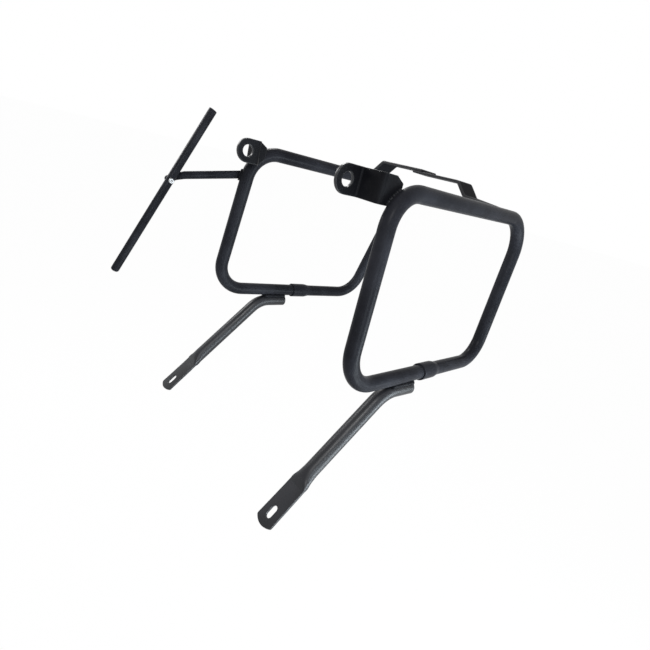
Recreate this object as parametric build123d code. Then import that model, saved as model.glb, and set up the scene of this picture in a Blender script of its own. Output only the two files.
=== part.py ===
from build123d import *
from math import cos, radians, sin, sqrt, tan
import os

os.makedirs("parts", exist_ok=True)

# Millimetres and degrees. X is forward, Y is the rider's left, Z is up.
# The origin is on the axis of the two stud holes, midway between them.

# Tube of the loops and the arms
tube_d = 22.0
tube_wall = 2.0
joint_gap = 0.2

# Side loop, measured between tube axes in the loop's own plane
loop_top_length = 364.0
loop_bottom_length = 335.0
loop_height = 249.0
loop_setback = 20.0
loop_bend_radius = 50.0
loop_lean = 5.1
loop_toe = 2.8
corner_back = 39.0
corner_half_span = 159.0
corner_rise = 3.7

# Belled end that the plain end of the same tube slips into
bell_mouth_back = 168.0
bell_length = 31.0
bell_taper = 11.0
bell_clearance = 0.2
plug_depth = 26.0

# Upper mounting bracket, a flat bar folded to a Z
stud_half_span = 114.7
stud_hole_d = 17.0
bracket_height = 35.0
bracket_thickness = 4.5
bracket_web_back = 21.5
bracket_fold_radius = 5.0
leaf_inset = 8.5
leaf_back = 54.0
leaf_top_back = 41.0
leaf_chamfer_drop = 7.0

# Lower arm, bent forward and down, its end pressed flat
arm_ahead_of_bell = 15.0
arm_seat_length = 56.0
arm_drop_angle = 46.0
arm_bend_radius = 50.0
arm_press_at = 146.0
arm_press_length = 30.0
arm_slot_at = 222.0
arm_tip = 21.0
arm_tip_radius = 24.0
arm_tip_corner = 3.5
arm_flat_width = 29.5
arm_tip_width = 31.5
arm_flat_thickness = 4.0
arm_slot_length = 18.5
arm_slot_width = 9.2

# Bridge of two folded straps
strap_back = 275.5
strap_width = 40.0
strap_thickness = 4.0
strap_half_bridge = 83.0
strap_rise = 18.5
strap_leg_angle = 45.0
strap_fold_radius = 6.0
strap_foot_short = 5.4
strap_foot_fall = 3.8
strap_lap = 15.0

# Side rod, with the tee that holds it
rod_d = 13.4
rod_rake = 23.1
rod_above = 134.0
rod_below = 182.0
rod_end_radius = 4.0
rod_rim = 0.8
rod_flat_depth = 0.8
tee_x = 60.3
tee_half_span = 242.0
tee_drop = 77.0

# Strut from the loop's front corner to the tee
strut_d = 12.7
strut_wall = 1.6
strut_root_drop = 41.0
strut_fold = 21.0
strut_press = 8.0
strut_flat_width = 12.0
strut_flat_thickness = 3.4

# Tee screw and nut
screw_d = 5.0
screw_head_d = 9.0
screw_head_height = 2.7
screw_head_round = 1.6
screw_hex = 3.0
screw_hex_depth = 1.5
screw_hole_clearance = 0.4
screw_past_nut = 0.6
spot_clearance = 0.6
nut_across_flats = 8.0
nut_thickness = 2.6
thread_clearance = 0.1

# Weld beads
weld_radius = 2.6
weld_standoff = 1.0
weld_end_inset = 4.0
bracket_weld_radius = 3.5
arm_weld_radius = 4.0
arm_weld_standoff = 1.8
arm_weld_inset = 1.0
arm_weld_past_bend = 15.0
foot_weld_sunk = 0.6
foot_crease_rise = 6.6
weld_skin = 0.1

tube_r = tube_d / 2
rod_r = rod_d / 2
strut_r = strut_d / 2
lean = radians(loop_lean)
toe = radians(loop_toe)

# Directions on the left side
forward = Vector(cos(toe), sin(toe), 0)
inward = Vector(sin(toe), -cos(toe), 0)
upward = Vector(0, 0, 1)
inboard = Vector(sin(toe) * cos(lean), -cos(toe) * cos(lean), -sin(lean))

# Loop corners in the loop's plane, from the front top corner
loop_plane = Plane(origin=(-corner_back, corner_half_span, corner_rise), x_dir=forward, z_dir=inboard)
front_top = (0, 0)
rear_top = (-loop_top_length, 0)
front_low = (loop_setback, -loop_height)
rear_low = (loop_setback - loop_bottom_length, -loop_height)
mouth = loop_setback - bell_mouth_back
bell_root = mouth - bell_length - bell_taper


def across(path):
    return Plane(origin=path @ 0, z_dir=path % 0)


def bar(path, radius):
    return sweep(across(path) * Circle(radius), path)


def pipe(path, radius, wall):
    return sweep(across(path) * (Circle(radius) - Circle(radius - wall)), path)


def rod_between(a, b, radius):
    return bar(Line(a, b), radius)


def folded(points, thickness, fold_radius):
    line = FilletPolyline(*points, radius=fold_radius)
    return make_face(offset(line, amount=thickness / 2, side=Side.BOTH))


def soft_section(width, height):
    return RectangleRounded(width, height, min(width, height) / 2 - 0.02)


# Loop tube, one length of tube bent round and closed in its own bell
plug_end = (mouth - plug_depth, -loop_height)
bell_start = (bell_root, -loop_height)
loop_points = (plug_end, front_low, front_top, rear_top, rear_low, bell_start)
loop_line = FilletPolyline(*loop_points, radius=loop_bend_radius)
loop_path = loop_plane * loop_line
bell_r_in = tube_r + bell_clearance
bell_r_out = bell_r_in + tube_wall
bell_points = (
    (bell_root, tube_r - tube_wall),
    (bell_root, tube_r),
    (mouth - bell_length, bell_r_out),
    (mouth, bell_r_out),
    (mouth, bell_r_in),
    (mouth - bell_length, bell_r_in),
)
bell_section = Pos(0, -loop_height) * make_face(Polyline(*bell_points, close=True))
bell = loop_plane * revolve(bell_section, Axis((0, -loop_height, 0), (1, 0, 0)))
left_loop_tube = pipe(loop_path, tube_r, tube_wall) + bell
loop_core = bar(loop_path, tube_r)
loop_skin = bar(loop_path, tube_r + weld_skin)
window_line = FilletPolyline(front_low, front_top, rear_top, rear_low, radius=loop_bend_radius, close=True)
window = extrude(loop_plane * make_face(window_line), amount=tube_d, both=True)

# Mounting bracket: tab, web and a leaf coped against the front top bend
half_height = bracket_height / 2
leaf_y = corner_half_span - leaf_inset
fold_points = (
    (bracket_height, stud_half_span),
    (-bracket_web_back, stud_half_span),
    (-bracket_web_back, leaf_y),
    (-corner_back - tube_d, leaf_y),
)
bracket_sheet = Pos(0, 0, -half_height) * extrude(
    folded(fold_points, bracket_thickness, bracket_fold_radius), amount=bracket_height
)
outline_edges = [
    Polyline(
        (0, half_height),
        (-leaf_top_back, half_height),
        (-leaf_back, half_height - leaf_chamfer_drop),
        (-leaf_back, -half_height),
        (0, -half_height),
    ),
    ThreePointArc((0, -half_height), (half_height, 0), (0, half_height)),
]
bracket_outline = extrude(Plane.XZ * make_face(outline_edges), amount=2 * corner_half_span, both=True)
stud_hole = Pos(0, stud_half_span, 0) * Rot(90, 0, 0) * Cylinder(stud_hole_d / 2, 2 * bracket_thickness)
left_mount_bracket = (bracket_sheet & bracket_outline) - stud_hole - window - loop_core

# Bracket bead along the line where the leaf's outer face meets the loop
leaf_face = left_mount_bracket.faces().filter_by(Axis.Y).sort_by(Axis.Y)[-1]
seam = leaf_face.edges().filter_by(GeomType.LINE, reverse=True).sort_by(SortBy.LENGTH)[-1]
outer_side = Pos(0, leaf_y + (bracket_thickness + corner_half_span) / 2, 0) * Box(
    2 * corner_half_span, corner_half_span, 2 * bracket_height
)
left_bracket_weld = (bar(seam, bracket_weld_radius) & outer_side) - loop_skin

# Lower arm, in the upright plane that holds it beside the loop's lower run
arm_spacing = tube_d + joint_gap
drop = radians(arm_drop_angle)
bend_setback = arm_bend_radius * tan(drop / 2)
seat_half = (arm_seat_length - bend_setback) / 2
seat_middle = loop_plane.from_local_coords(Vector(mouth + arm_ahead_of_bell + seat_half, -loop_height, 0))
arm_origin = seat_middle - upward * arm_spacing - Vector(seat_half, 0, 0)
lateral = Vector(0, -1, 0)
arm_plane = Plane(origin=arm_origin, x_dir=(1, 0, 0), z_dir=lateral)


def along_arm(distance):
    return Vector(arm_seat_length + distance * cos(drop), -distance * sin(drop), 0)


arm_line = FilletPolyline((0, 0), (arm_seat_length, 0), along_arm(arm_press_at), radius=arm_bend_radius)
arm_tube = pipe(arm_plane * arm_line, tube_r, tube_wall)
arm_direction = Vector(cos(drop), 0, -sin(drop))


def arm_section(distance):
    centre = arm_plane.from_local_coords(along_arm(distance))
    return Plane(origin=centre, x_dir=lateral, z_dir=arm_direction)


flat_start = arm_press_at + arm_press_length
flat_profile = arm_section(flat_start) * soft_section(arm_flat_width, arm_flat_thickness)
arm_press = loft([arm_section(arm_press_at) * soft_section(tube_d, tube_d), flat_profile])
tip_profile = arm_section(arm_slot_at + arm_tip) * soft_section(arm_tip_width, arm_flat_thickness)
arm_flat = loft([flat_profile, tip_profile])
flat_plane = Plane(
    origin=arm_plane.from_local_coords(along_arm(arm_slot_at)),
    x_dir=arm_direction,
    z_dir=arm_direction.cross(lateral),
)
half_flat = arm_flat_width / 2
half_tip = arm_tip_width / 2
tip_shoulder = arm_tip - arm_tip_radius + sqrt(arm_tip_radius**2 - half_tip**2)
tip_edges = [
    Polyline(
        (tip_shoulder, half_tip),
        (flat_start - arm_slot_at, half_flat),
        (flat_start - arm_slot_at, -half_flat),
        (tip_shoulder, -half_tip),
    ),
    ThreePointArc((tip_shoulder, -half_tip), (arm_tip, 0), (tip_shoulder, half_tip)),
]
tip_face = fillet(make_face(tip_edges).vertices().group_by(Axis.X)[-1], arm_tip_corner)
tip_outline = extrude(flat_plane * tip_face, amount=arm_flat_thickness, both=True)
arm_slot = extrude(
    flat_plane * SlotOverall(arm_slot_length, arm_slot_width), amount=arm_flat_thickness, both=True
)
left_lower_arm = arm_tube + arm_press + (arm_flat & tip_outline) - arm_slot

# Arm beads in the two creases between the arm and the lower run
crease_off = sqrt((tube_r + arm_weld_standoff) ** 2 - (arm_spacing / 2) ** 2)
bead_end = 2 * seat_half + arm_weld_past_bend


def arm_bead(side):
    a = arm_plane.from_local_coords(Vector(arm_weld_inset, arm_spacing / 2, side * crease_off))
    b = arm_plane.from_local_coords(Vector(bead_end, arm_spacing / 2, side * crease_off))
    return rod_between(a, b, arm_weld_radius)


arm_skin = bar(arm_plane * arm_line, tube_r + weld_skin)
left_arm_weld = arm_bead(1) + arm_bead(-1) - arm_skin - loop_skin

# Bridge straps: the foot slopes down to the loop's top run, then the leg and the lapped bridge
foot_z = corner_rise + tube_r + joint_gap + strap_thickness / 2
strap_tube_y = corner_half_span - (strap_back - corner_back) * tan(toe)
foot_end_y = strap_tube_y - strap_foot_short
run_centre = Vector(-strap_back, strap_tube_y, corner_rise)


def top_run(radius):
    return rod_between(run_centre - forward * strap_width, run_centre + forward * strap_width, radius)


def strap(rise):
    leg_run = rise / tan(radians(strap_leg_angle))
    points = (
        (-strap_lap / 2, foot_z + rise),
        (strap_half_bridge, foot_z + rise),
        (strap_half_bridge + leg_run, foot_z),
        (foot_end_y, foot_z - strap_foot_fall),
    )
    face = Plane.YZ * folded(points, strap_thickness, strap_fold_radius)
    bent = Pos(-strap_back, 0, 0) * extrude(face, amount=strap_width / 2, both=True)
    return bent - top_run(tube_r + joint_gap)


left_bridge_strap = strap(strap_rise)
right_bridge_strap = mirror(strap(strap_rise + strap_thickness), about=Plane.XZ)

# Foot beads: one in the crease under the foot, one along the foot's outer end
bead_half = strap_width / 2 - weld_end_inset
crease_in = sqrt((tube_r + weld_standoff) ** 2 - foot_crease_rise**2)
crease_middle = run_centre + inward * crease_in + upward * foot_crease_rise
crease_bead = rod_between(
    crease_middle - forward * bead_half, crease_middle + forward * bead_half, weld_radius
)
edge_z = corner_rise + sqrt(tube_r**2 - strap_foot_short**2) - foot_weld_sunk
foot_edge = Vector(-strap_back, foot_end_y, edge_z)
edge_bead = rod_between(
    foot_edge - Vector(bead_half, 0, 0), foot_edge + Vector(bead_half, 0, 0), weld_radius
)
past_foot = Pos(-strap_back, foot_end_y + weld_skin + strap_width / 2, foot_z) * Box(
    strap_width, strap_width, strap_width
)
left_strap_weld = crease_bead + (edge_bead & past_foot) - top_run(tube_r + weld_skin) - left_bridge_strap

# Bead where the upper strap ends on the lower one
lap_point = Vector(-strap_back, strap_lap / 2, foot_z + strap_rise + strap_thickness / 2)
lap_bead = rod_between(
    lap_point - Vector(bead_half, 0, 0), lap_point + Vector(bead_half, 0, 0), weld_radius
)
lap_weld = lap_bead - left_bridge_strap - right_bridge_strap

# Tee: the strut's tab lies flat against the rod's outer side
tee = Vector(tee_x, tee_half_span, -tee_drop)
rod_up = Vector(-tan(radians(rod_rake)), -tan(lean), 1).normalized()
outward = Vector(0, cos(lean), sin(lean))
seat = rod_r - rod_flat_depth
front_run = Vector(loop_setback, -loop_height, 0).normalized()
root = loop_plane.from_local_coords(front_run * strut_root_drop)
tab_centre = tee + outward * (seat + strut_flat_thickness / 2)
to_root = root - tab_centre
tab_back = (to_root - outward * to_root.dot(outward)).normalized()

# Side rod with a flat for the tab and a spot face for the screw head
rod_body = rod_between(tee - rod_up * rod_below, tee + rod_up * rod_above, rod_r)
rod_rims = rod_body.edges().filter_by(GeomType.CIRCLE).sort_by(Axis.Z)
rod_body = fillet(rod_rims[0], rod_end_radius)
rod_body = chamfer(rod_body.edges().filter_by(GeomType.CIRCLE).sort_by(Axis.Z)[-1], rod_rim)
tab_flat = Plane(origin=tee + outward * seat, x_dir=tab_back, z_dir=outward) * Box(
    3 * rod_d, strut_flat_width + 2 * spot_clearance, rod_r, align=(Align.CENTER, Align.CENTER, Align.MIN)
)
head_spot = rod_between(
    tee - outward * seat, tee - outward * rod_d, screw_head_d / 2 + spot_clearance
)
screw_hole = rod_between(
    tee - outward * rod_d, tee + outward * rod_d, (screw_d + screw_hole_clearance) / 2
)
left_side_rod = rod_body - tab_flat - head_spot - screw_hole

# Strut: round from the loop to its fold, then pressed to a flat tab
fold = tab_centre + tab_back * strut_fold
strut_direction = (fold - root).normalized()
press_start = fold - strut_direction * strut_press
press_end = fold - tab_back * strut_press
tab_wide = outward.cross(tab_back)
press_plane = Plane(origin=press_start, x_dir=tab_wide, z_dir=strut_direction)
round_section = press_plane * soft_section(strut_d, strut_d)
tab_profile = soft_section(strut_flat_width, strut_flat_thickness)
tab_section = Plane(origin=press_end, x_dir=tab_wide, z_dir=-tab_back) * tab_profile
tab_plane = Plane(origin=tab_centre, x_dir=tab_back, z_dir=outward)
tab_reach = strut_fold - strut_press
tab_shape = Circle(strut_flat_width / 2) + Pos(tab_reach / 2, 0) * Rectangle(tab_reach, strut_flat_width)
tab_outline = extrude(tab_plane * tab_shape, amount=strut_flat_thickness, both=True)
tab = extrude(tab_section, amount=strut_fold + strut_flat_width, dir=-tab_back) & tab_outline
strut_tube = pipe(Line(root, press_start), strut_r, strut_wall) - loop_core
left_rod_strut = strut_tube + loft([round_section, tab_section]) + tab - screw_hole

# Strut bead, a collar on the loop round the strut's root
collar = rod_between(root, press_start, strut_r + weld_radius) & bar(loop_path, tube_r + weld_radius)
left_strut_weld = collar - loop_skin - rod_between(root, press_start, strut_r + weld_skin)

# Screw from the inner side, nut on the outer side
screw_length = 2 * seat + strut_flat_thickness + nut_thickness + screw_past_nut
head_face = tee - outward * seat
head = rod_between(head_face - outward * screw_head_height, head_face, screw_head_d / 2)
head_rim = head.edges().filter_by(GeomType.CIRCLE).sort_by(Axis((0, 0, 0), tuple(outward)))[0]
head = fillet(head_rim, screw_head_round)
head_plane = Plane(origin=head_face - outward * screw_head_height, x_dir=rod_up, z_dir=outward)
hex_profile = RegularPolygon(screw_hex / 2, 6, major_radius=False)
hex_socket = extrude(head_plane * hex_profile, amount=screw_hex_depth)
shank = rod_between(head_face, head_face + outward * screw_length, screw_d / 2)
left_rod_screw = head + shank - hex_socket
nut_face = tee + outward * (seat + strut_flat_thickness)
nut_plane = Plane(origin=nut_face, x_dir=rod_up, z_dir=outward)
nut_profile = RegularPolygon(nut_across_flats / 2, 6, major_radius=False) - Circle(
    (screw_d + thread_clearance) / 2
)
left_rod_nut = extrude(nut_plane * nut_profile, amount=nut_thickness)

pairs = {
    "loop_tube": left_loop_tube,
    "mount_bracket": left_mount_bracket,
    "bracket_weld": left_bracket_weld,
    "lower_arm": left_lower_arm,
    "arm_weld": left_arm_weld,
    "strap_weld": left_strap_weld,
}
nodes = {
    "left_bridge_strap": left_bridge_strap,
    "right_bridge_strap": right_bridge_strap,
    "lap_weld": lap_weld,
    "side_rod": mirror(left_side_rod, about=Plane.XZ),
    "rod_strut": mirror(left_rod_strut, about=Plane.XZ),
    "strut_weld": mirror(left_strut_weld, about=Plane.XZ),
    "rod_screw": mirror(left_rod_screw, about=Plane.XZ),
    "rod_nut": mirror(left_rod_nut, about=Plane.XZ),
}
for name, piece in pairs.items():
    nodes["left_" + name] = piece
    nodes["right_" + name] = mirror(piece, about=Plane.XZ)
for name, piece in nodes.items():
    export_step(piece, f"parts/{name}.step")
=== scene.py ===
import bmesh
import bpy
import numpy as np
from mathutils import Matrix, Vector


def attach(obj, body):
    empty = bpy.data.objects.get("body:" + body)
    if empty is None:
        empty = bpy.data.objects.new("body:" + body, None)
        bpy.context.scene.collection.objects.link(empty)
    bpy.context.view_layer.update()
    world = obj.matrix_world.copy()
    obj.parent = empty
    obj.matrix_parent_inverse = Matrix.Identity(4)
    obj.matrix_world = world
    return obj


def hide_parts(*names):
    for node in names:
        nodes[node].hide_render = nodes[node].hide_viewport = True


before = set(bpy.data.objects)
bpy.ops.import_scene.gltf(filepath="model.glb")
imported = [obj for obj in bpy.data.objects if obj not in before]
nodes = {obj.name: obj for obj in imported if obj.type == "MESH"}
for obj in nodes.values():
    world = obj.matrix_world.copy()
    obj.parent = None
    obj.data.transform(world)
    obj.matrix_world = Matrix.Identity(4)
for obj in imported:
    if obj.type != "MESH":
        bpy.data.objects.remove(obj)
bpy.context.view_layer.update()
scene = bpy.context.scene
print("frame loaded:", len(nodes), "nodes")

# everything below is worked out in millimetres and written to the meshes in metres
mm = 0.001
vec = lambda *xyz: np.array(xyz, float)
unit = lambda v: v / np.linalg.norm(v)
step = lambda x: np.clip(x, 0, 1) ** 2 * (3 - 2 * np.clip(x, 0, 1))
point0 = 0.01  # radius of a ring that closes a shell
hair = 0.02  # a length too small to see, to keep faces apart and to compare by


# shared shader groups

def newGroup(name, inputs, outputs):
    group = bpy.data.node_groups.new(name, "ShaderNodeTree")
    for label, kind, value in inputs:
        socket = group.interface.new_socket(label, in_out="INPUT", socket_type=kind)
        socket.default_value = value
    for label, kind in outputs:
        group.interface.new_socket(label, in_out="OUTPUT", socket_type=kind)
    ends = group.nodes.new("NodeGroupInput"), group.nodes.new("NodeGroupOutput")
    return group, group.nodes, group.links, *ends


def noiseNode(n, scale, detail=2.0, rough=0.5):
    node = n.new("ShaderNodeTexNoise")
    node.inputs["Scale"].default_value = scale
    node.inputs["Detail"].default_value = detail
    node.inputs["Roughness"].default_value = rough
    return node


def rangeNode(n, lo, hi, outLo, outHi):
    node = n.new("ShaderNodeMapRange")
    node.interpolation_type = "SMOOTHSTEP"
    for label, value in zip(("From Min", "From Max", "To Min", "To Max"), (lo, hi, outLo, outHi)):
        node.inputs[label].default_value = value
    return node


def mathNode(n, operation, second=None):
    node = n.new("ShaderNodeMath")
    node.operation = operation
    if second is not None:
        node.inputs[1].default_value = second
    return node


# orange peel of a baked coat: ripples about 1.6 mm across, a grain of about 1 mm on top and a broad cloud
def orangePeelGroup():
    group, n, l, gin, gout = newGroup(
        "orangePeel",
        [("Ripple Scale", "NodeSocketFloat", 620.0), ("Grain Scale", "NodeSocketFloat", 950.0)],
        [("Height", "NodeSocketFloat"), ("Cloud", "NodeSocketFloat"), ("Grain", "NodeSocketFloat")],
    )
    place = n.new("ShaderNodeTexCoord")
    ripple, grain = noiseNode(n, 1, 1.5), noiseNode(n, 1, 2.0, 0.6)
    cloud = noiseNode(n, 16.0, 3.0, 0.55)
    for tex in (ripple, grain, cloud):
        l.new(place.outputs["Object"], tex.inputs["Vector"])
    l.new(gin.outputs["Ripple Scale"], ripple.inputs["Scale"])
    l.new(gin.outputs["Grain Scale"], grain.inputs["Scale"])
    low = mathNode(n, "MULTIPLY", 0.25)
    both = mathNode(n, "ADD")
    l.new(grain.outputs["Fac"], low.inputs[0])
    l.new(ripple.outputs["Fac"], both.inputs[0])
    l.new(low.outputs[0], both.inputs[1])
    l.new(both.outputs[0], gout.inputs["Height"])
    l.new(cloud.outputs["Fac"], gout.inputs["Cloud"])
    l.new(grain.outputs["Fac"], gout.inputs["Grain"])
    return group


# dust specks and thin handling rubs, patchy over the whole frame
def handlingGroup():
    group, n, l, gin, gout = newGroup(
        "handlingMarks",
        [("Speck Scale", "NodeSocketFloat", 420.0), ("Rub Scale", "NodeSocketFloat", 60.0)],
        [("Specks", "NodeSocketFloat"), ("Rubs", "NodeSocketFloat")],
    )
    place = n.new("ShaderNodeTexCoord")
    cells = n.new("ShaderNodeTexVoronoi")
    patch, rub = noiseNode(n, 30.0, 2.0), noiseNode(n, 1, 4.0, 0.65)
    stretch = n.new("ShaderNodeMapping")
    stretch.inputs["Scale"].default_value = (0.35, 1.0, 1.0)
    l.new(place.outputs["Object"], cells.inputs["Vector"])
    l.new(place.outputs["Object"], patch.inputs["Vector"])
    l.new(place.outputs["Object"], stretch.inputs["Vector"])
    l.new(stretch.outputs["Vector"], rub.inputs["Vector"])
    l.new(gin.outputs["Speck Scale"], cells.inputs["Scale"])
    l.new(gin.outputs["Rub Scale"], rub.inputs["Scale"])
    dot, area = rangeNode(n, 0.05, 0.15, 1, 0), rangeNode(n, 0.52, 0.7, 0, 1)
    keep, worn = mathNode(n, "MULTIPLY"), rangeNode(n, 0.6, 0.76, 0, 1)
    l.new(cells.outputs["Distance"], dot.inputs["Value"])
    l.new(patch.outputs["Fac"], area.inputs["Value"])
    l.new(dot.outputs[0], keep.inputs[0])
    l.new(area.outputs[0], keep.inputs[1])
    l.new(rub.outputs["Fac"], worn.inputs["Value"])
    l.new(keep.outputs[0], gout.inputs["Specks"])
    l.new(worn.outputs[0], gout.inputs["Rubs"])
    return group


orangePeel = orangePeelGroup()
handlingMarks = handlingGroup()


def newMaterial(name):
    material = bpy.data.materials.new(name)
    material.use_nodes = True
    tree = material.node_tree
    return material, tree.nodes, tree.links, tree.nodes["Principled BSDF"]


def placeGroup(n, group, **values):
    node = n.new("ShaderNodeGroup")
    node.node_tree = group
    for label, value in values.items():
        node.inputs[label.replace("_", " ")].default_value = value
    return node


def mixColor(n, l, fac, a, b):
    node = n.new("ShaderNodeMix")
    node.data_type = "RGBA"
    l.new(fac, node.inputs[0])
    for socket, value in ((node.inputs[6], a), (node.inputs[7], b)):
        if isinstance(value, tuple):
            socket.default_value = value
        else:
            l.new(value, socket)
    return node.outputs[2]


# edge is the pale colour of the fine grain and of the painted edge highlight
coat = dict(
    deep=(0.0092, 0.0095, 0.0122, 1), pale=(0.0220, 0.0228, 0.0282, 1), edge=(0.050, 0.051, 0.057, 1),
    dust=(0.090, 0.090, 0.095, 1), bump=0.08, bumpDepth=0.00025, gloss=0.042, rough=(0.30, 0.38),
    rimCoat=0.45, rimCoatRough=0.3, rimHighlightShare=0.8, grainShare=0.3, rubShine=0.07,
)


# satin black coat: cloudy colour, a painted highlight on the edges from the piece's own rim values, peel in
# the bump
def powderCoatMaterial(
    name, ripple=620.0, grain=950.0, bump=coat["bump"], gloss=coat["gloss"], paintedShade=1.0,
    rough=coat["rough"], rimCoat=coat["rimCoat"],
):
    material, n, l, bsdf = newMaterial(name)
    # painted shade: the coat's colours are scaled down for each copy
    deep, pale, edge = (tuple(v * paintedShade for v in coat[k][:3]) + (1,) for k in ("deep", "pale", "edge"))
    peel = placeGroup(n, orangePeel, Ripple_Scale=ripple, Grain_Scale=grain)
    marks = placeGroup(n, handlingMarks)
    rimHighlight = n.new("ShaderNodeAttribute")
    rimHighlight.attribute_name = "rimHighlight"
    cloud = rangeNode(n, 0.32, 0.7, 0, 1)
    l.new(peel.outputs["Cloud"], cloud.inputs["Value"])
    base = mixColor(n, l, cloud.outputs[0], deep, pale)
    grainMask = rangeNode(n, 0.5, 0.75, 0, coat["grainShare"])
    l.new(peel.outputs["Grain"], grainMask.inputs["Value"])
    grainy = mixColor(n, l, grainMask.outputs[0], base, edge)
    # painted highlight: the pale edge colour is laid over the edges by the piece's rim values
    thinEndsAndEdgeHighlight = mathNode(n, "MULTIPLY", coat["rimHighlightShare"])
    l.new(rimHighlight.outputs["Fac"], thinEndsAndEdgeHighlight.inputs[0])
    withEdgeHighlight = mixColor(n, l, thinEndsAndEdgeHighlight.outputs[0], grainy, edge)
    dusty = mixColor(n, l, marks.outputs["Specks"], withEdgeHighlight, coat["dust"])
    l.new(dusty, bsdf.inputs["Base Color"])
    sheen = rangeNode(n, 0.3, 0.7, *rough)
    l.new(peel.outputs["Cloud"], sheen.inputs["Value"])
    rubbed = mathNode(n, "MULTIPLY", coat["rubShine"])
    l.new(marks.outputs["Rubs"], rubbed.inputs[0])
    total = mathNode(n, "SUBTRACT")
    l.new(sheen.outputs[0], total.inputs[0])
    l.new(rubbed.outputs[0], total.inputs[1])
    l.new(total.outputs[0], bsdf.inputs["Roughness"])
    relief = n.new("ShaderNodeBump")
    relief.inputs["Strength"].default_value = bump
    relief.inputs["Distance"].default_value = coat["bumpDepth"]
    l.new(peel.outputs["Height"], relief.inputs["Height"])
    l.new(relief.outputs["Normal"], bsdf.inputs["Normal"])
    bsdf.inputs["Specular IOR Level"].default_value = gloss
    polished = mathNode(n, "MULTIPLY", rimCoat)
    l.new(rimHighlight.outputs["Fac"], polished.inputs[0])
    l.new(polished.outputs[0], bsdf.inputs["Coat Weight"])
    bsdf.inputs["Coat Roughness"].default_value = coat["rimCoatRough"]
    return material


zinc = dict(
    dark=(0.36, 0.37, 0.38, 1), bright=(0.50, 0.51, 0.52, 1), rough=(0.42, 0.55), bump=0.1, bumpDepth=0.0001,
)


# bright zinc: crystal cloud in the tint and the roughness, fine scratches in the bump
def zincPlateMaterial():
    material, n, l, bsdf = newMaterial("zincPlate")
    place = n.new("ShaderNodeTexCoord")
    crystal, scratch = noiseNode(n, 900.0, 3.0, 0.6), noiseNode(n, 2600.0, 2.0, 0.5)
    for tex in (crystal, scratch):
        l.new(place.outputs["Object"], tex.inputs["Vector"])
    tint = mixColor(n, l, crystal.outputs["Fac"], zinc["dark"], zinc["bright"])
    l.new(tint, bsdf.inputs["Base Color"])
    gloss = rangeNode(n, 0.3, 0.7, *zinc["rough"])
    l.new(crystal.outputs["Fac"], gloss.inputs["Value"])
    l.new(gloss.outputs[0], bsdf.inputs["Roughness"])
    relief = n.new("ShaderNodeBump")
    relief.inputs["Strength"].default_value = zinc["bump"]
    relief.inputs["Distance"].default_value = zinc["bumpDepth"]
    l.new(scratch.outputs["Fac"], relief.inputs["Height"])
    l.new(relief.outputs["Normal"], bsdf.inputs["Normal"])
    bsdf.inputs["Metallic"].default_value = 1.0
    return material


# one black coat in copies per piece: the shade factors darken the arms, plates, straps and welds below the
# tubes as painted shade for how the light falls on them
tubeCoat = powderCoatMaterial("tubeCoat")
armCoat = powderCoatMaterial("armCoat", bump=0.015, gloss=0.3, paintedShade=0.7, rough=(0.35, 0.44))
plateCoat = powderCoatMaterial("plateCoat", ripple=760.0, gloss=0.06, paintedShade=0.41, rough=(0.36, 0.46))
strapCoat = powderCoatMaterial("strapCoat", ripple=760.0, gloss=0.02, paintedShade=0.38, rough=(0.44, 0.54))
weldCoat = powderCoatMaterial(
    "weldCoat", ripple=900.0, grain=1500.0, bump=0.3, gloss=0.04, paintedShade=0.55, rimCoat=0.15,
)
zincPlate = zincPlateMaterial()
print("materials ready")


# mesh helpers

# a grid of rings (ring, point, xyz): neighbours along both ways make quads, the ring way is closed
def ringFaces(rings, points, wrapRings=False):
    i = np.arange(rings if wrapRings else rings - 1)[:, None]
    j = np.arange(points)[None, :]
    a, b = i * points, (i + 1) % rings * points
    jn = (j + 1) % points
    return np.stack([a + j, a + jn, b + jn, b + j], -1).reshape(-1, 4)


def addPiece(name, shells, material, node, rimHighlights=None, smoothAngle=40):
    verts, faces, start = [], [], 0
    for grid, wrapRings in shells:
        rings, points = grid.shape[:2]
        verts.append(grid.reshape(-1, 3))
        quads = ringFaces(rings, points, wrapRings) + start
        faces += quads.tolist()
        if not wrapRings:
            faces.append((np.arange(points)[::-1] + start).tolist())
            faces.append((np.arange(points) + (rings - 1) * points + start).tolist())
        start += rings * points
    mesh = bpy.data.meshes.new(name)
    mesh.from_pydata((np.concatenate(verts) * mm).tolist(), [], faces)
    mesh.validate()
    if rimHighlights is not None:
        attribute = mesh.attributes.new("rimHighlight", "FLOAT", "POINT")
        attribute.data.foreach_set("value", np.concatenate([r.ravel() for r in rimHighlights]).astype(np.float32))
    outwards(mesh)
    dress(name, mesh, material, node, smoothAngle)


def dress(name, mesh, material, node, smoothAngle):
    mesh.polygons.foreach_set("use_smooth", np.ones(len(mesh.polygons), bool))
    mesh.set_sharp_from_angle(angle=np.radians(smoothAngle))
    mesh.materials.append(material)
    piece = bpy.data.objects.new(name, mesh)
    scene.collection.objects.link(piece)
    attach(piece, "root")
    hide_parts(node)


def outwards(mesh):
    work = bmesh.new()
    work.from_mesh(mesh)
    bmesh.ops.recalc_face_normals(work, faces=work.faces)
    work.to_mesh(mesh)
    work.free()


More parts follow.
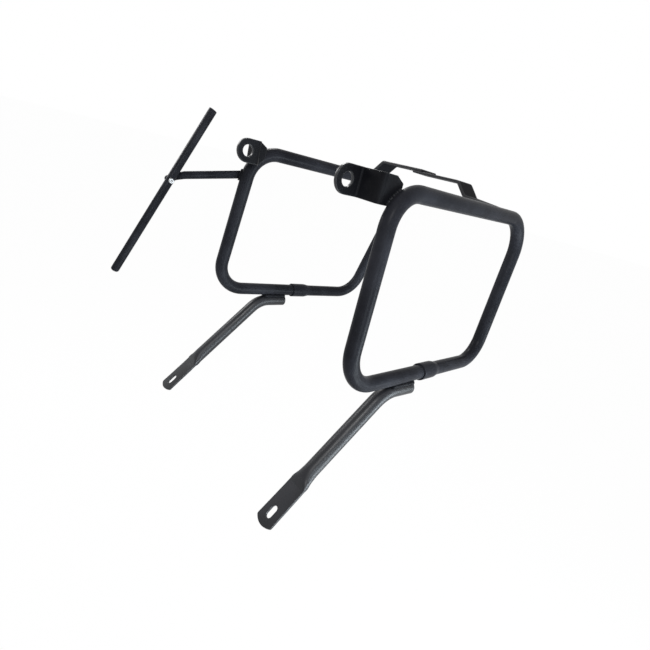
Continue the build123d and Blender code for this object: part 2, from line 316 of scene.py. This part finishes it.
# corners joined by straight runs and tangent arcs; returns points and their distance along the line
def filletLine(corners, radius, arcStep=2.5):
    corners = [np.asarray(c, float) for c in corners]
    pieces = [corners[0][None]]
    for a, b, c in zip(corners, corners[1:], corners[2:]):
        back, ahead = unit(a - b), unit(c - b)
        half = np.arccos(np.clip(back @ ahead, -1, 1)) / 2
        centre = b + unit(back + ahead) * radius / np.sin(half)
        t0, t1 = b + back * radius / np.tan(half), b + ahead * radius / np.tan(half)
        e0, sweepAngle = t0 - centre, np.pi - 2 * half
        e1 = unit(t1 - centre - e0 * ((t1 - centre) @ e0) / (e0 @ e0)) * radius
        turn = np.radians(np.arange(0, np.degrees(sweepAngle), arcStep))[:, None]
        turn = np.vstack([turn, [[sweepAngle]]])
        pieces.append(centre + e0 * np.cos(turn) + e1 * np.sin(turn))
    pieces.append(corners[-1][None])
    line = np.concatenate(pieces)
    return line, np.r_[0, np.cumsum(np.linalg.norm(np.diff(line, axis=0), axis=1))]


# the line read again at given distances, with its direction there
def alongLine(line, dist, at):
    at = np.asarray(at, float)
    reach = 0.4
    point = lambda where: np.stack([np.interp(where, dist, axis) for axis in line.T], -1)
    way = point(np.minimum(at + reach, dist[-1])) - point(np.maximum(at - reach, 0))
    return point(at), way / np.linalg.norm(way, axis=1, keepdims=True)


# rings set square to a plane line: x = a cos^(2/p) along sideDir and y = b sin^(2/p) across it,
# so p = 2 is an ellipse and a larger p squares its corners
def ringsAlong(centre, way, sideDir, a, b, p=2.0, points=56):
    a, b, p = (np.broadcast_to(np.asarray(v, float), len(centre))[:, None, None] for v in (a, b, p))
    turn = np.linspace(0, 2 * np.pi, points, endpoint=False)[None, :, None]
    side = np.broadcast_to(sideDir, centre.shape)
    up = np.cross(way, side)
    cosine, sine = np.cos(turn), np.sin(turn)
    x = a * np.sign(cosine) * np.abs(cosine) ** (2 / p)
    y = b * np.sign(sine) * np.abs(sine) ** (2 / p)
    return centre[:, None] + x * side[:, None] + y * up[:, None]


def mirrored(shells):
    return [(grid * vec(1, -1, 1), wrap) for grid, wrap in shells]


# the loop's own plane on the left side
loop = dict(
    tube=10.97, wall=2.0, top=364.0, bottom=335.0, height=249.0, setback=20.0, bend=50.0, lean=5.1, toe=2.8,
    corner=vec(-39.0, 159.0, 3.7), mouthBack=168.0, bellLength=31.0, bellTaper=11.0, bellGap=0.25,
    bellLip=0.7, plug=12.0, ringStep=6.0, mouthDepth=16.0, mouthBevel=(0.25, 1.0), overrun=1.0,
)
leanAngle, toeAngle = np.radians(loop["lean"]), np.radians(loop["toe"])
forward = vec(np.cos(toeAngle), np.sin(toeAngle), 0)
inboard = vec(np.sin(toeAngle) * np.cos(leanAngle), -np.cos(toeAngle) * np.cos(leanAngle), -np.sin(leanAngle))
upLoop = np.cross(inboard, forward)
onLoop = lambda uv: loop["corner"] + uv[..., :1] * forward + uv[..., 1:2] * upLoop


# loop tube: a circle carried round the four bends, flared to the bell, turned over its lip and back inside
def loopShells():
    low, mouth = -loop["height"], loop["setback"] - loop["mouthBack"]
    corners = [(mouth - loop["plug"], low), (loop["setback"], low), (0, 0), (-loop["top"], 0),
               (loop["setback"] - loop["bottom"], low), (mouth + loop["overrun"], low)]
    line, dist = filletLine(corners, loop["bend"])
    end = dist[-1] - loop["overrun"]
    bellAt, taperAt = end - loop["bellLength"], end - loop["bellLength"] - loop["bellTaper"]
    inner = loop["tube"] + loop["bellGap"]
    outer = inner + loop["wall"]
    lip = loop["bellLip"]
    roundLip = np.radians(np.linspace(0, 90, 5))
    body = np.unique(np.r_[dist[dist < taperAt], np.arange(0, taperAt, loop["ringStep"]), taperAt])
    flare = np.linspace(taperAt, bellAt, 12)[1:]
    bell = np.linspace(bellAt, end - lip, 6)[1:-1]
    depth = end - loop["mouthDepth"]
    bevel, bevelDepth = loop["mouthBevel"]
    at = np.r_[0, body, flare, bell, end - lip + lip * np.sin(roundLip), end, end - bevelDepth, depth, depth]
    cone = loop["tube"] + (outer - loop["tube"]) * (flare - taperAt) / loop["bellTaper"]
    radius = np.r_[point0, np.full(len(body), loop["tube"]), cone, np.full(len(bell), outer),
                   outer - lip + lip * np.cos(roundLip), inner + bevel, inner, inner, point0]
    place, way = alongLine(line, dist, at)
    wayThere = way[:, :1] * forward + way[:, 1:2] * upLoop
    return [(ringsAlong(onLoop(place), wayThere, inboard, radius, radius), False)]


left = loopShells()
addPiece("leftLoop", left, tubeCoat, "left_loop_tube")
addPiece("rightLoop", mirrored(left), tubeCoat, "right_loop_tube")
print("loops done")


# flat plate with a hole: rays from the hole's edge to the outline, rounded at both edges
# and closed round the plate's thickness
def plateGrid(outline, hole, thickness, edge=0.7, across=40):
    ray = outline - hole
    length = np.linalg.norm(ray, axis=1, keepdims=True)
    ray = ray / length
    bend = np.radians(np.linspace(0, 90, 4))
    t = thickness / 2
    nearIn = edge * (1 - np.cos(bend))
    nearUp = t - edge + edge * np.sin(bend)
    mid = np.linspace(0, 1, across)[1:-1]
    inner = np.broadcast_to(nearIn, (len(ray), len(nearIn)))
    topIn = np.concatenate([inner, edge + mid * (length - 2 * edge), length - nearIn[::-1]], 1)
    topUp = np.concatenate([nearUp, np.full(len(mid), t), nearUp[::-1]])
    offset = np.concatenate([topIn, topIn[:, ::-1]], 1)
    level = np.r_[topUp, -topUp[::-1]]
    flat = hole[:, None] + ray[:, None] * offset[..., None]
    # painted edge highlight: 1 round the edge, and a paler painted highlight band that fades out over the
    # flat beside it
    highlightBandWidth, highlightBandShare = 2.2 * edge, 0.6
    rimHighlight = np.where(np.abs(level) < t - hair, 1.0, 0.0)
    highlightBand = np.clip(1 - np.minimum(offset, length - offset) / highlightBandWidth, 0, 1)
    return flat, np.broadcast_to(level, offset.shape), np.maximum(highlightBand * highlightBandShare, rimHighlight[None])


# points spaced evenly round a closed outline
def evenOutline(corners, count):
    corners = np.asarray(corners, float)
    loopPoints = np.vstack([corners, corners[:1]])
    dist = np.r_[0, np.cumsum(np.linalg.norm(np.diff(loopPoints, axis=0), axis=1))]
    at = np.unique(np.r_[np.linspace(0, dist[-1], count, endpoint=False), dist[:-1]])
    return np.stack([np.interp(at, dist, loopPoints[:, k]) for k in (0, 1)], -1)


bracket = dict(
    tab=114.7, hole=8.5, half=17.5, thick=4.5, web=21.5, leaf=150.5, back=54.0, topBack=41.0, drop=7.0,
    lowBack=44.0, lowEdge=-6.8, fold=5.0, edge=0.8, planFront=30.0, planBack=70.0,
    seam=(31.0, 58.5),
)


# bracket: the flat blank with its stud hole, folded along the plan line x(s), y(s)
def bracketShells():
    zero, planBack, web = bracket["planFront"], bracket["planBack"], bracket["web"]
    tab, leaf = bracket["tab"], bracket["leaf"]
    line, dist = filletLine([(zero, tab), (-web, tab), (-web, leaf), (-planBack, leaf)], bracket["fold"], 4.0)
    leafShift = dist[-1] - planBack - zero  # length of the blank at x = 0 on the leaf
    arc = np.radians(np.linspace(-90, 90, 41))
    half = bracket["half"]
    rear = lambda x, z: (-(leafShift - x), z)
    back = -bracket["back"]
    corners = [*zip(half * np.cos(arc), half * np.sin(arc)), rear(-bracket["topBack"], half),
               rear(back, half - bracket["drop"]), rear(back, bracket["lowEdge"]),
               rear(-bracket["lowBack"], -half)]
    outline = evenOutline(corners, 220)
    angle = np.arctan2(outline[:, 1], outline[:, 0])
    hole = bracket["hole"] * np.stack([np.cos(angle), np.sin(angle)], -1)
    flat, level, rimHighlight = plateGrid(outline, hole, bracket["thick"], bracket["edge"], 70)
    s = zero - flat[..., 0]
    place, way = alongLine(line, dist, s.ravel())
    normal = np.stack([way[:, 1], -way[:, 0]], -1)
    xy = (place + normal * level.reshape(-1, 1)).reshape(*s.shape, 2)
    return [(np.concatenate([xy, flat[..., 1:2]], -1), True)], [rimHighlight]


left, rimHighlights = bracketShells()
addPiece("leftBracket", left, plateCoat, "left_mount_bracket", rimHighlights)
addPiece("rightBracket", mirrored(left), plateCoat, "right_mount_bracket", rimHighlights)
print("brackets done")

arm = dict(
    start=vec(-172.94, 175.46, -266.51), seat=56.0, drop=46.0, bend=50.0, tube=11.0, wall=2.0, boreDepth=45.0,
    rimDepth=1.0, rimRound=0.5, firstRing=2.0, ringStep=3.0, pressAt=146.0, pressLength=30.0, overrun=14.0,
    crownFall=2.2, flatPower=7.0, sink=0.35, tuck=2.5, slotAt=222.0, slotLength=18.5, slotWidth=9.2,
    tip=21.0, tipRadius=24.0, tipCorner=3.5, half=14.75, tipHalf=15.73, thick=4.0, edge=0.7,
    rimHighlightShare=0.12, rimHighlightFade=6.0, dish=0.7, dishMean=0.6, dishFade=12.0,
)
armFall = np.radians(arm["drop"])
armSlope = vec(np.cos(armFall), -np.sin(armFall))
armBend = vec(arm["seat"], 0)  # where the arm's two straight runs would meet
armAcross = vec(0, -1, 0)
onArm = lambda uv: arm["start"] + uv[..., :1] * vec(1, 0, 0) + uv[..., 1:2] * vec(0, 0, 1)


# arm's tube: a circle carried along the bent line and pressed to the flat; its sides widen by a smooth step,
# its crown falls as pressed^crownFall and so drops late, and past the press it sinks into the flat
def armTube():
    reach = arm["pressAt"] + arm["pressLength"] + arm["overrun"]
    line, dist = filletLine([(0, 0), armBend, armBend + armSlope * reach], arm["bend"])
    pressAt = dist[-1] - reach + arm["pressAt"]
    pressEnd = pressAt + arm["pressLength"]
    rimTurn = np.radians(np.linspace(0, 90, 4))
    depth, rimDepth, rimRound = arm["boreDepth"], arm["rimDepth"], arm["rimRound"]
    evenRings = np.arange(arm["firstRing"], dist[-1], arm["ringStep"])
    outside = np.unique(np.r_[dist[dist > rimDepth], evenRings, np.linspace(pressAt, pressEnd, 22)])
    at = np.r_[depth, depth, rimDepth, rimRound * (1 - np.sin(rimTurn)), outside, dist[-1]]
    pressed = np.clip((outside - pressAt) / arm["pressLength"], 0, 1)
    squeeze = step(pressed)
    tube, bore, flat = arm["tube"], arm["tube"] - arm["wall"], arm["thick"] / 2
    rimSize = np.r_[point0, bore, bore, tube - rimRound * np.cos(rimTurn)]
    sink = arm["sink"] * np.clip((outside - pressEnd) / arm["overrun"], 0, 1)
    a = np.r_[rimSize, tube + (arm["half"] + hair - tube) * squeeze - sink, point0]
    b = np.r_[rimSize, tube + (flat + hair - tube) * pressed ** arm["crownFall"] - sink, point0]
    # the section's corners turn square only near the flat
    p = np.r_[np.full(len(rimSize), 2.0), 2 + (arm["flatPower"] - 2) * squeeze**6, arm["flatPower"]]
    place, way = alongLine(line, dist, at)
    wayThere = way[:, :1] * vec(1, 0, 0) + way[:, 1:2] * vec(0, 0, 1)
    return ringsAlong(onArm(place), wayThere, armAcross, a, b, p)


# edge of the slot seen from its middle: its straight side where a ray meets that, or else its round end
def slotEdge(angle):
    endR, flatHalf = arm["slotWidth"] / 2, (arm["slotLength"] - arm["slotWidth"]) / 2
    cosine, sine = np.cos(angle), np.sin(angle)
    sideHit = endR / np.maximum(np.abs(sine), 1e-6)
    endHit = flatHalf * np.abs(cosine) + np.sqrt(np.maximum(endR**2 - (flatHalf * sine) ** 2, 0))
    radius = np.where(sideHit * np.abs(cosine) <= flatHalf, sideHit, endHit)
    return radius[:, None] * np.stack([cosine, sine], -1)


# outline of the flat round the slot's middle: flared sides, eased corners and a tip of radius tipRadius
def flatOutline(start):
    back, tip, tipR = start - arm["tuck"], arm["tip"], arm["tipRadius"]
    flare = lambda x: arm["half"] + (arm["tipHalf"] - arm["half"]) * (x - start) / (tip - start)
    knee = tip
    for k in range(12):  # settles where the flared side meets the tip's arc
        knee = tip - tipR + np.sqrt(tipR**2 - flare(knee) ** 2)
    spread = np.arcsin(flare(knee) / tipR)
    corner = vec(knee, flare(knee))
    tipSide = corner + 10 * vec(np.sin(spread), -np.cos(spread))
    ease = filletLine([(back, flare(back)), corner, tipSide], arm["tipCorner"], 12.0)[0][1:-1]
    turn = spread - np.linalg.norm(ease[-1] - corner) / tipR
    turn = np.linspace(turn, -turn, 21)[:, None]
    cap = vec(tip - tipR, 0) + tipR * np.hstack([np.cos(turn), np.sin(turn)])
    rearEdge = [(back, -flare(back)), (back, flare(back))]
    return evenOutline([*ease, *cap, *(ease * vec(1, -1))[::-1], *rearEdge], 200)


# slotted flat: a plate round its slot, from just inside the pressed tube to the tip;
# the press leaves it slightly hollow across its width: rise dish * ((y / half)^2 - dishMean)
def armFlat():
    start = arm["pressAt"] + arm["pressLength"] - arm["slotAt"]
    outline = flatOutline(start)
    hole = slotEdge(np.arctan2(outline[:, 1], outline[:, 0]))
    flatXY, level, rimHighlight = plateGrid(outline, hole, arm["thick"], arm["edge"], 16)
    # painted highlight on the flat's edges, weak and faded in past the press
    rimHighlight = arm["rimHighlightShare"] * rimHighlight * step((flatXY[..., 0] - start - 1) / arm["rimHighlightFade"])
    hollow = (flatXY[..., 1] / arm["half"]) ** 2 - arm["dishMean"]
    level = level + arm["dish"] * hollow * step((flatXY[..., 0] - start) / arm["dishFade"])
    slope3 = vec(armSlope[0], 0, armSlope[1])
    up3 = np.cross(slope3, armAcross)
    middle = onArm(armBend + armSlope * arm["slotAt"])
    return middle + flatXY[..., :1] * slope3 + flatXY[..., 1:2] * armAcross + level[..., None] * up3, rimHighlight


tubeRings = armTube()
flatGrid, flatRimHighlight = armFlat()
left, rimHighlights = [(tubeRings, False), (flatGrid, True)], [np.zeros(tubeRings.shape[:2]), flatRimHighlight]
addPiece("leftArm", left, armCoat, "left_lower_arm", rimHighlights)
addPiece("rightArm", mirrored(left), armCoat, "right_lower_arm", rimHighlights)
print("arms done")

strap = dict(
    back=275.5, width=40.0, thick=4.0, halfBridge=83.0, rise=18.5, footZ=16.9, footEnd=142.03, footFall=3.8,
    fold=6.0, lap=15.0, edge=0.8, ringStep=4.0, sideHighlight=0.7, cornerHighlight=0.3, endHighlight=0.8,
)


# strap's section: corner arcs of radius edge, with rows of points across the two wide faces
def strapSection():
    w, t, e = strap["width"] / 2, strap["thick"] / 2, strap["edge"]
    q = np.radians(np.linspace(0, 90, 4))
    row = np.linspace(-1, 1, 13)[1:-1]
    corners = [(w - e, t - e), (-(w - e), t - e), (-(w - e), -(t - e)), (w - e, -(t - e))]
    parts = []
    for k, (cx, cy) in enumerate(corners):
        angle = q + np.radians(90 * k)
        parts.append(np.stack([cx + e * np.cos(angle), cy + e * np.sin(angle)], -1))
        if k == 0:
            parts.append(np.stack([-row * (w - e), np.full(len(row), t)], -1))
        if k == 2:
            parts.append(np.stack([row * (w - e), np.full(len(row), -t)], -1))
    return np.concatenate(parts)


# strap: the section carried along the folded line in the cross plane
def strapShells(rise):
    w, t, e = strap["width"] / 2, strap["thick"] / 2, strap["edge"]
    bridge, footZ = strap["halfBridge"], strap["footZ"]
    slope = unit(vec(strap["footEnd"] - bridge - rise, -strap["footFall"]))
    footTip = vec(strap["footEnd"], footZ - strap["footFall"]) + slope * t
    corners = [(-strap["lap"] / 2 - t, footZ + rise), (bridge, footZ + rise), (bridge + rise, footZ), footTip]
    line, dist = filletLine(corners, strap["fold"], 6.0)
    tuck = t * (1 - np.cos(np.radians(np.linspace(6, 90, 8))))
    bends = dist[(dist > t) & (dist < dist[-1] - t)]
    evenRings = np.arange(strap["ringStep"], dist[-1] - 1.5 * t, strap["ringStep"])
    at = np.unique(np.r_[tuck, evenRings, bends, dist[-1] - tuck])
    inset = np.minimum(np.minimum(at, dist[-1] - at), t)
    # both ends are rounded across the thickness: half thickness sqrt(t^2 - (t - inset)^2)
    thinEndsAndEdgeHighlight = np.sqrt(t**2 - (t - inset) ** 2) / t
    place, way = alongLine(line, dist, at)
    section = strapSection()
    sx, sy = np.broadcast_to(section[:, 0], (len(at), len(section))), section[None, :, 1] * thinEndsAndEdgeHighlight[:, None]
    normal = np.stack([-way[:, 1], way[:, 0]], -1)
    yz = place[:, None] + normal[:, None] * sy[..., None]
    grid = np.concatenate([(-strap["back"] + sx)[..., None], yz], -1)
    # painted highlight: the side edges, the corners and the rounded ends are painted pale
    onSide, onCorner = np.abs(section[:, 0]) > w - 1.2 * e, np.abs(np.abs(section[:, 1]) - t) > hair
    edgeHighlightShare = onSide * strap["sideHighlight"] + onCorner * strap["cornerHighlight"]
    rimHighlight = np.maximum(np.broadcast_to(edgeHighlightShare, grid.shape[:2]), (inset < t * 0.9)[:, None] * strap["endHighlight"])
    return [(grid, False)], [rimHighlight]


left, rimHighlights = strapShells(strap["rise"])
addPiece("leftStrap", left, strapCoat, "left_bridge_strap", rimHighlights)
right, rimHighlights = strapShells(strap["rise"] + strap["thick"])
addPiece("rightStrap", mirrored(right), strapCoat, "right_bridge_strap", rimHighlights)
print("straps done")

weld = dict(
    radius=2.6, bracketRadius=3.4, lapRadius=2.4, ringStep=0.25, pitch=3.1, drift=0.12, driftRate=0.7,
    wander=0.05,
)


# weld bead: rings along a path whose radius swells once per puddle, drawn in at both ends
def bead(path, radius, sideDir, swell=0.2, points=24):
    dist = np.r_[0, np.cumsum(np.linalg.norm(np.diff(path, axis=0), axis=1))]
    at = np.linspace(0, dist[-1], int(dist[-1] / weld["ringStep"]))
    place, way = alongLine(path, dist, at)
    puddle = (at / weld["pitch"] + weld["drift"] * np.sin(at * weld["driftRate"])) % 1.0
    crest = np.sqrt(np.clip(1 - (2 * puddle - 1) ** 2, 0, 1))
    size = radius * (1 - swell + swell * crest)
    # two slow waves in the size keep the puddles from looking alike
    size = size * (1 + weld["wander"] * (np.sin(at * 0.9) + 0.6 * np.sin(at * 2.3 + 1)))
    ends = np.minimum(at, dist[-1] - at) / radius
    size = np.maximum(size * np.sqrt(np.clip(1 - (1 - np.clip(ends, 0, 1)) ** 2, 0, 1)), hair)
    side = sideDir - way * (way @ sideDir)[:, None]
    side = side / np.linalg.norm(side, axis=1, keepdims=True)
    up = np.cross(way, side)
    turn = np.linspace(0, 2 * np.pi, points, endpoint=False)
    ring = np.cos(turn)[None, :, None] * side[:, None] + np.sin(turn)[None, :, None] * up[:, None]
    # painted highlight: the crest of each puddle is painted pale
    rimHighlight = np.broadcast_to((3 * swell * crest**6)[:, None], ring.shape[:2])
    return (place[:, None] + ring * size[:, None, None], False), rimHighlight


# beads of one joint on the left side, and their mirror image on the right
def beadPair(name, node, beads):
    shells, rimHighlights = [b[0] for b in beads], [b[1] for b in beads]
    addPiece("left" + name, shells, weldCoat, "left_" + node, rimHighlights, 60)
    addPiece("right" + name, mirrored(shells), weldCoat, "right_" + node, rimHighlights, 60)


# line where the leaf's outer face meets the front top bend: (rho - R)^2 + w^2 = r^2 at the face's y
def bracketSeam():
    back, ahead = unit(vec(loop["setback"], -loop["height"])), vec(-1, 0)
    half = np.arccos(back @ ahead) / 2
    centre = unit(back + ahead) * loop["bend"] / np.sin(half)
    turn = np.radians(np.linspace(*bracket["seam"], 40))
    y, w = bracket["leaf"] + bracket["thick"] / 2, np.full(len(turn), 6.0)  # w starts as a guess and settles
    for k in range(12):
        rho = loop["bend"] + np.sqrt(np.maximum(loop["tube"] ** 2 - w**2, 0.01))
        uv = centre + rho[:, None] * np.stack([np.cos(turn), np.sin(turn)], -1)
        w = (y - loop["corner"][1] - forward[1] * uv[:, 0] - upLoop[1] * uv[:, 1]) / inboard[1]
    return onLoop(uv) + w[:, None] * inboard


beadPair("BracketBead", "bracket_weld", [bead(bracketSeam(), weld["bracketRadius"], inboard)])

# arm beads fill the two creases between the arm and the lower run
armBead = dict(radius=4.0, off=6.37, up=11.1, start=1.0, end=49.8, swell=0.02)


def creaseBead(side):
    ends = [[armBead[k], -side * armBead["off"], armBead["up"]] for k in ("start", "end")]
    return bead(arm["start"] + np.array(ends), armBead["radius"], vec(0, side, 0), armBead["swell"])


beadPair("ArmBead", "arm_weld", [creaseBead(side) for side in (1, -1)])

# foot beads: one under the foot beside the run, one along the foot's outer end
foot = dict(rise=6.6, sunk=0.6, half=16.0, off=1.0)
runY = loop["corner"][1] - (strap["back"] + loop["corner"][0]) * np.tan(toeAngle)
runCentre = vec(-strap["back"], runY, loop["corner"][2])
inward = vec(np.sin(toeAngle), -np.cos(toeAngle), 0)
footIn = np.sqrt((loop["tube"] + foot["off"]) ** 2 - foot["rise"] ** 2)
edgeZ = loop["corner"][2] + np.sqrt(loop["tube"] ** 2 - (runCentre[1] - strap["footEnd"]) ** 2) - foot["sunk"]
footEdge = vec(-strap["back"], strap["footEnd"], edgeZ)
bothEnds = np.array([[-foot["half"]], [foot["half"]]])
beadPair("FootBead", "strap_weld", [
    bead(runCentre + inward * footIn + vec(0, 0, foot["rise"]) + bothEnds * forward, weld["radius"], inward),
    bead(footEdge + bothEnds * vec(1, 0, 0), weld["radius"], vec(0, 1, 0)),
])
lapMiddle = vec(-strap["back"], strap["lap"] / 2, strap["footZ"] + strap["rise"] + strap["thick"] / 2)
lap, lapRimHighlight = bead(lapMiddle + bothEnds * vec(1, 0, 0), weld["lapRadius"], vec(0, 1, 0))
addPiece("lapBead", [lap], weldCoat, "lap_weld", [lapRimHighlight], 60)
print("beads done")


# turned and pressed small pieces keep the CAD shape: a merged copy with smooth shading
def smoothCopy(name, node, material, angle=32):
    work = bmesh.new()
    work.from_mesh(nodes[node].data)
    bmesh.ops.remove_doubles(work, verts=work.verts, dist=1e-6)
    mesh = bpy.data.meshes.new(name)
    work.to_mesh(mesh)
    work.free()
    mesh.polygons.foreach_set("material_index", np.zeros(len(mesh.polygons), np.int32))
    dress(name, mesh, material, node, angle)


smoothCopy("sideRod", "side_rod", tubeCoat)
smoothCopy("rodStrut", "rod_strut", tubeCoat, 50)
smoothCopy("strutBead", "strut_weld", weldCoat)
smoothCopy("teeScrew", "rod_screw", zincPlate)
smoothCopy("teeNut", "rod_nut", zincPlate)
print("small pieces done")

# camera: the rows of the turn are right, down and ahead
view = dict(
    place=(0.3475, 0.4967, 0.0083), lens=23.737, sensor=36.0, clipStart=0.02,
    right=(-0.75116, 0.61368, 0.24323), down=(0.04478, 0.41499, -0.90872), ahead=(-0.6586, -0.6717, -0.3392),
)
cameraData = bpy.data.cameras.new("photoView")
cameraData.lens, cameraData.sensor_width, cameraData.sensor_fit = view["lens"], view["sensor"], "HORIZONTAL"
cameraData.clip_start = view["clipStart"]
camera = bpy.data.objects.new("photoView", cameraData)
scene.collection.objects.link(camera)
right, down, ahead = (Vector(view[k]).normalized() for k in ("right", "down", "ahead"))
camera.matrix_world = Matrix.Translation(view["place"]) @ Matrix((right, -down, -ahead)).transposed().to_4x4()
scene.camera = camera

studio = dict(floor=-0.80, floorSize=60.0, floorGlow=0.985, worldLight=0.20, middle=(-0.15, 0.0, -0.18))


# 1 for rays from the camera, from reflections and through glass, 0 for those that light the object
def seenRays(n, l):
    path = n.new("ShaderNodeLightPath")
    first, both = mathNode(n, "MAXIMUM"), mathNode(n, "MAXIMUM")
    l.new(path.outputs["Is Camera Ray"], first.inputs[0])
    l.new(path.outputs["Is Glossy Ray"], first.inputs[1])
    l.new(first.outputs[0], both.inputs[0])
    l.new(path.outputs["Is Transmission Ray"], both.inputs[1])
    return both.outputs[0]


# floor and world are plain white to the camera and in reflections; the floor keeps soft shadows
def whiteFloor():
    material, n, l, bsdf = newMaterial("paleFloor")
    bsdf.inputs["Base Color"].default_value = (0.9, 0.9, 0.9, 1)
    bsdf.inputs["Roughness"].default_value = 0.9
    bsdf.inputs["Specular IOR Level"].default_value = 0.0
    glow, mix = n.new("ShaderNodeEmission"), n.new("ShaderNodeMixShader")
    glow.inputs["Strength"].default_value = 1.0
    share = mathNode(n, "MULTIPLY", studio["floorGlow"])
    l.new(seenRays(n, l), share.inputs[0])
    l.new(share.outputs[0], mix.inputs[0])
    l.new(bsdf.outputs[0], mix.inputs[1])
    l.new(glow.outputs[0], mix.inputs[2])
    l.new(mix.outputs[0], n["Material Output"].inputs["Surface"])
    return material


half = studio["floorSize"] / 2
floorMesh = bpy.data.meshes.new("floor")
floorCorners = [(x * half, y * half, studio["floor"]) for x, y in ((-1, -1), (1, -1), (1, 1), (-1, 1))]
floorMesh.from_pydata(floorCorners, [], [(0, 1, 2, 3)])
floorMesh.materials.append(whiteFloor())
floor = bpy.data.objects.new("floor", floorMesh)
scene.collection.objects.link(floor)

world = bpy.data.worlds.new("studio")
scene.world = world
world.use_nodes = True
wn, wl = world.node_tree.nodes, world.node_tree.links
sky = wn["Background"]
sky.inputs["Color"].default_value = (1, 1, 1, 1)
strength = rangeNode(wn, 0, 1, studio["worldLight"], 1.0)
strength.interpolation_type = "LINEAR"
wl.new(seenRays(wn, wl), strength.inputs["Value"])
wl.new(strength.outputs[0], sky.inputs["Strength"])

# lamps: place, size in metres, power in watts, tint; all face the middle of the object, unseen by the camera
white, cool = (1, 1, 1), (0.84, 0.94, 1.0)
lamps = dict(
    keyLamp=((0.77, 0.92, 0.74), 0.3, 11.0, white),
    backLamp=((-0.45, -1.04, 1.01), 0.3, 9.0, white),
    farLamp=((0.3, -0.9, 0.4), 0.4, 6.0, white),
    leftLamp=((0.4, -1.0, -0.35), 0.7, 0.6, cool),
    lowLamp=((-0.2, 0.6, -0.55), 0.3, 3.0, cool),
    tailLamp=((-0.6, 0.9, -0.4), 0.4, 8.0, cool),
    frontLamp=((0.28, 1.1, -0.2), 0.3, 3.0, cool),
)
for name, (place, size, power, tint) in lamps.items():
    data = bpy.data.lights.new(name, "AREA")
    data.shape, data.size, data.energy, data.color = "SQUARE", size, power, tint
    lamp = bpy.data.objects.new(name, data)
    scene.collection.objects.link(lamp)
    lamp.location = place
    lamp.rotation_euler = (Vector(studio["middle"]) - Vector(place)).to_track_quat("-Z", "Y").to_euler()
    lamp.visible_camera = False
scene.view_settings.view_transform = "Standard"
print("stage done")
